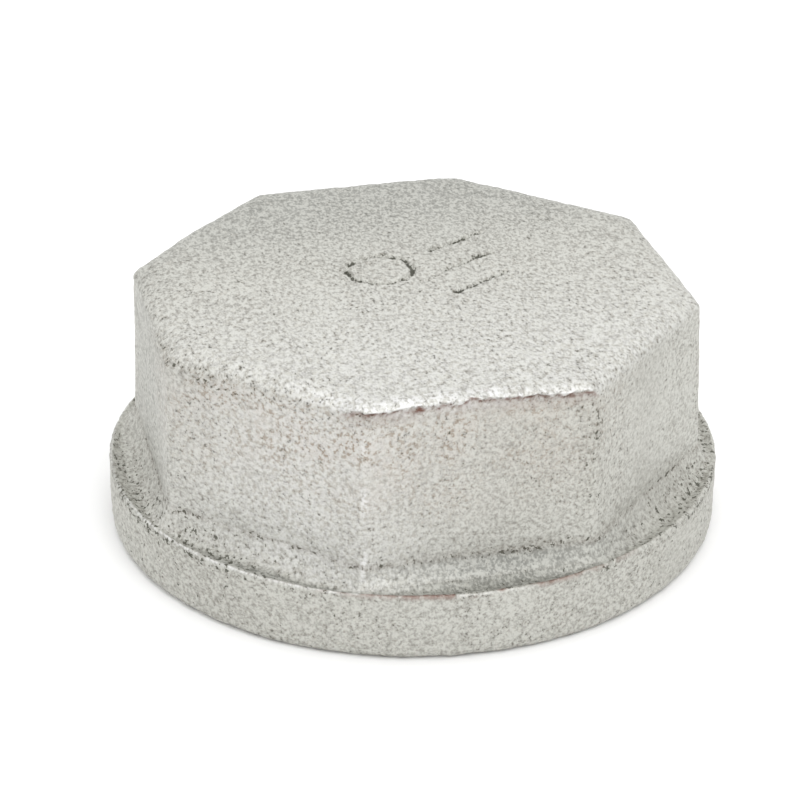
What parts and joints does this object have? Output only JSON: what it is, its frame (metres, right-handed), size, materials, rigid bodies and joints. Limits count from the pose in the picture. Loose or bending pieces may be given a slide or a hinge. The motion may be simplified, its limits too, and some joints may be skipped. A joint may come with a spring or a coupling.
{
  "type": "pipe cap",
  "caption": "Octagonal screwed pipe cap with a closed end, drafted wrench flats, a round band at the mouth and a female pipe thread, in zinc-coated malleable iron.",
  "frame": {"origin": "centre of the mouth face, where the thread's axis meets the plane that the cap stands on", "axes": "+Z along the thread's axis, from the mouth to the closed end; X and Y are square to two pairs of the octagon's flats"},
  "size_m": [0.055, 0.055, 0.0224],
  "materials": {
    "zinc_casting": "matt galvanised skin with the grain of the sand mould",
    "tapped_thread": "bare metal cut by the tap, satin"
  },
  "bodies": {
    "root": {"end_wall": "zinc_casting", "octagon_wall": "zinc_casting", "foot_fillet": "zinc_casting", "mouth_band": "zinc_casting", "pipe_thread": "tapped_thread"}
  },
  "joints": []
}
